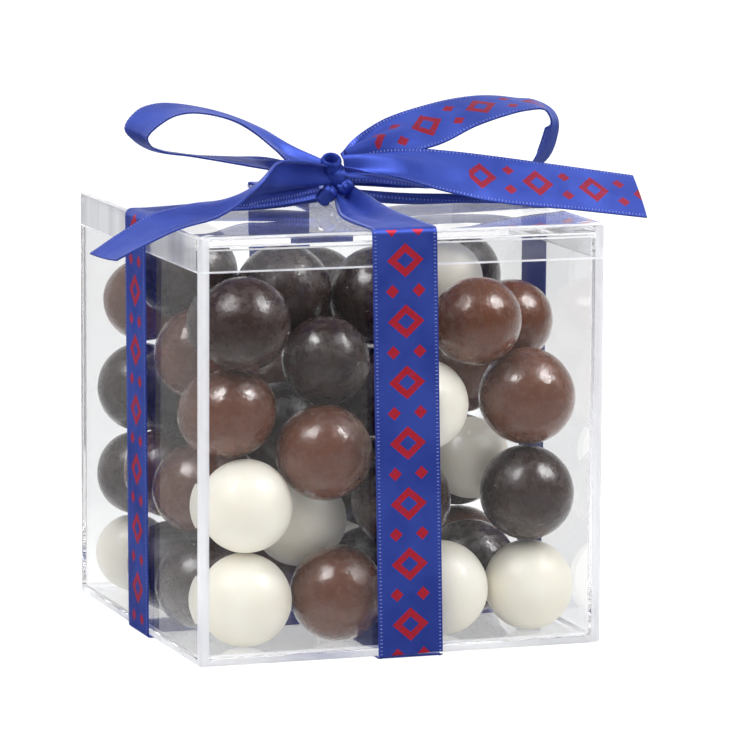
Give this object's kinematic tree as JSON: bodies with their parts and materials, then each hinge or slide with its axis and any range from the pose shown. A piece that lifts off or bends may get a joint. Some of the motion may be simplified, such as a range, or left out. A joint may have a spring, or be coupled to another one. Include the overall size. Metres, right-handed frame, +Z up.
{
  "type": "gift box of chocolates",
  "caption": "Clear square gift box with a lift-off lid, filled with chocolate balls and tied crosswise with a satin ribbon and bow.",
  "frame": {"origin": "middle of the face the box stands on, the underside of the ribbon crossing", "axes": "+Z up, the front with the strap that shows its full width faces -Y, +X to the right of the front"},
  "size_m": [0.1133, 0.0826, 0.1014],
  "materials": {
    "clear_plastic": "clear, polished",
    "white_chocolate": "smooth, dull",
    "milk_chocolate": "polished, slightly pitted",
    "dark_chocolate": "polished, slightly pitted",
    "ribbon_satin": "satin"
  },
  "bodies": {
    "box": {"box_base": "clear_plastic", "ribbon_cross_under": "ribbon_satin", "dark_ball_01": "dark_chocolate", "dark_ball_02": "dark_chocolate", "dark_ball_03": "dark_chocolate", "dark_ball_04": "dark_chocolate", "dark_ball_05": "dark_chocolate", "dark_ball_06": "dark_chocolate", "dark_ball_07": "dark_chocolate", "dark_ball_08": "dark_chocolate", "dark_ball_09": "dark_chocolate", "dark_ball_10": "dark_chocolate", "dark_ball_11": "dark_chocolate", "dark_ball_12": "dark_chocolate", "dark_ball_13": "dark_chocolate", "dark_ball_14": "dark_chocolate", "dark_ball_15": "dark_chocolate", "dark_ball_16": "dark_chocolate", "dark_ball_17": "dark_chocolate", "dark_ball_18": "dark_chocolate", "dark_inner_stack": "dark_chocolate", "milk_ball_01": "milk_chocolate", "milk_ball_02": "milk_chocolate", "milk_ball_03": "milk_chocolate", "milk_ball_04": "milk_chocolate", "milk_ball_05": "milk_chocolate", "milk_ball_06": "milk_chocolate", "milk_ball_07": "milk_chocolate", "milk_ball_08": "milk_chocolate", "milk_ball_09": "milk_chocolate", "milk_ball_10": "milk_chocolate", "milk_ball_11": "milk_chocolate", "milk_ball_12": "milk_chocolate", "milk_ball_13": "milk_chocolate", "milk_ball_14": "milk_chocolate", "milk_ball_15": "milk_chocolate", "milk_inner_stack": "milk_chocolate", "white_ball_01": "white_chocolate", "white_ball_02": "white_chocolate", "white_ball_03": "white_chocolate", "white_ball_04": "white_chocolate", "white_ball_05": "white_chocolate", "white_ball_06": "white_chocolate", "white_ball_07": "white_chocolate", "white_ball_08": "white_chocolate", "white_ball_09": "white_chocolate", "white_ball_10": "white_chocolate", "white_ball_11": "white_chocolate", "white_ball_12": "white_chocolate", "white_inner_stack": "white_chocolate"},
    "lid": {"lid": "clear_plastic"},
    "ribbon": {"bow_loop_left": "ribbon_satin", "bow_loop_right": "ribbon_satin", "bow_tail_left": "ribbon_satin", "bow_tail_right": "ribbon_satin", "ribbon_knot": "ribbon_satin", "ribbon_strap_back": "ribbon_satin", "ribbon_strap_front": "ribbon_satin", "ribbon_strap_left": "ribbon_satin", "ribbon_strap_right": "ribbon_satin"}
  },
  "joints": [
    {"name": "lid_lift", "type": "slide", "parent": "box", "child": "lid", "axis": [0, 0, 1], "range_m": [0, 0.07]},
    {"name": "ribbon_lift", "type": "slide", "parent": "lid", "child": "ribbon", "axis": [0, 0, 1], "range_m": [0, 0.09]}
  ]
}
